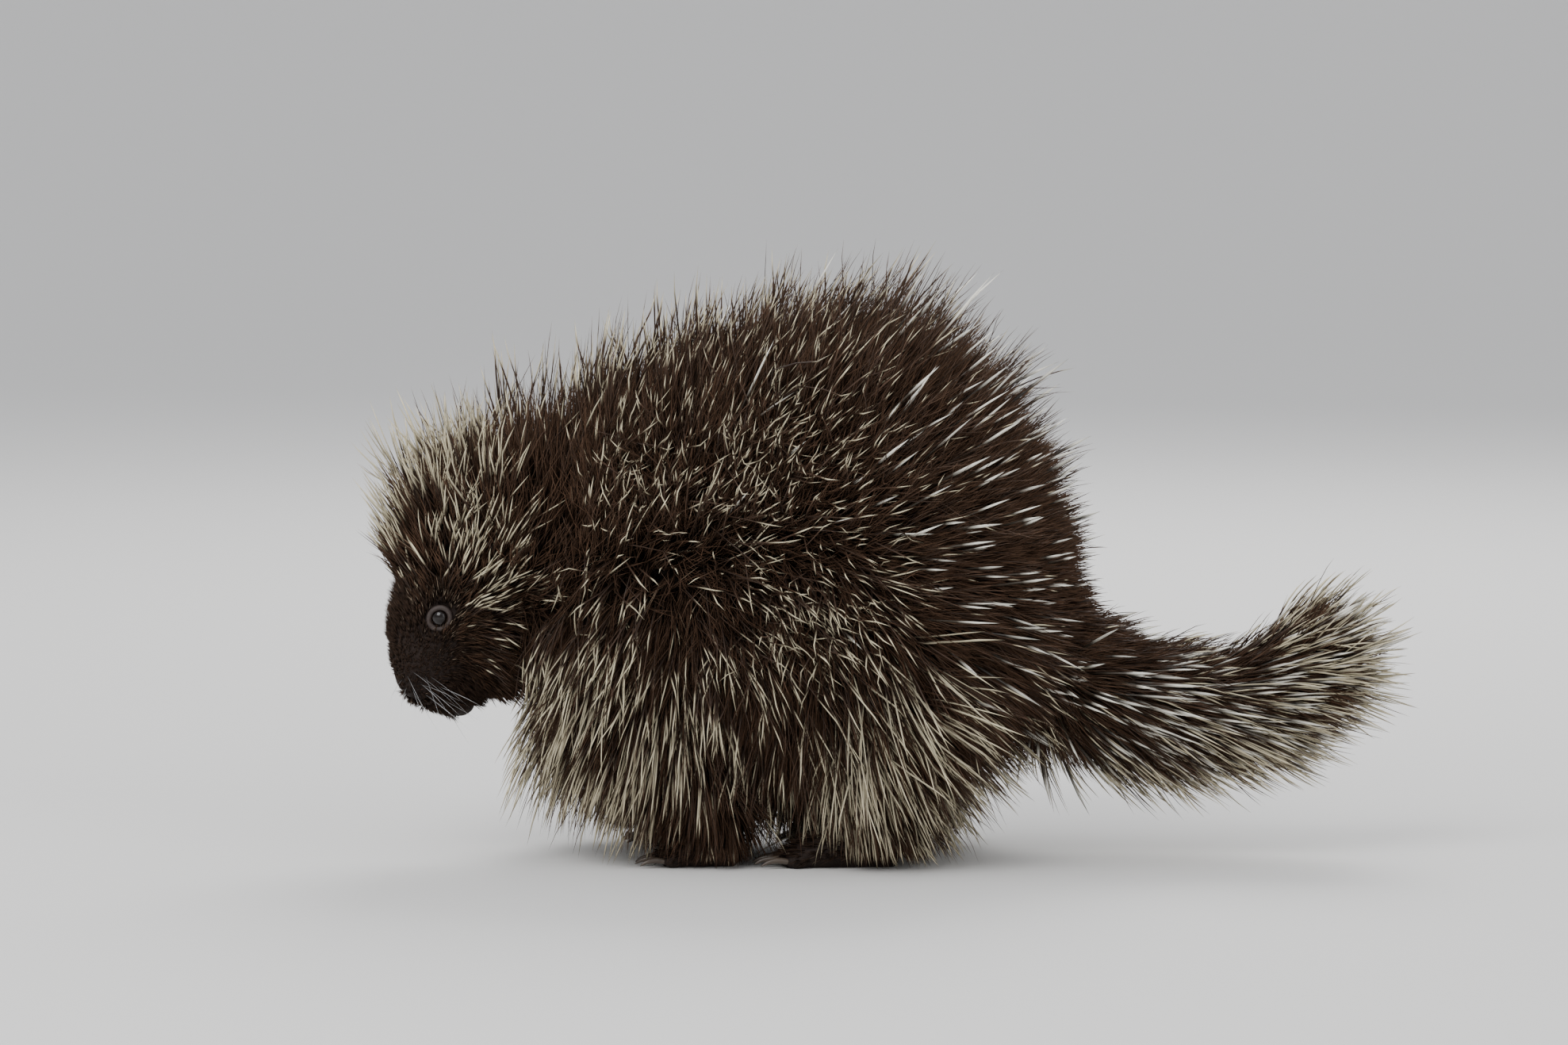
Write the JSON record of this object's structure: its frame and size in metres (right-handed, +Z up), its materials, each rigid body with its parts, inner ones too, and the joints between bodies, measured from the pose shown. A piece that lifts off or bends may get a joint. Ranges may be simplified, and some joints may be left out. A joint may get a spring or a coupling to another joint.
{
  "type": "porcupine",
  "caption": "Life-size still model of a walking porcupine, head low and tail lifted, with a long coat of hair and quills over head, back, flanks and tail.",
  "frame": {"origin": "middle of the bottom of the whole, on the plane of the soles", "axes": "+X to the tail, -X to the nose; -Y is the animal's left side; +Z up"},
  "size_m": [0.7314, 0.301, 0.4181],
  "materials": {
    "coat": "long brown hair with pale tips and white quills",
    "face": "short near-black fur",
    "ear": "thin skin with short dark hair",
    "eye": "wet and glossy, nearly black",
    "paw": "dark hairy foot with bare sole and claws"
  },
  "bodies": {
    "root": {"torso": "coat", "neck": "coat", "head": "face", "tail": "coat", "ear_left": "ear", "ear_right": "ear", "eye_left": "eye", "eye_right": "eye", "foreleg_left": "coat", "forefoot_left": "paw", "foreleg_right": "coat", "forefoot_right": "paw", "hindleg_left": "coat", "hindfoot_left": "paw", "hindleg_right": "coat", "hindfoot_right": "paw"}
  },
  "joints": []
}
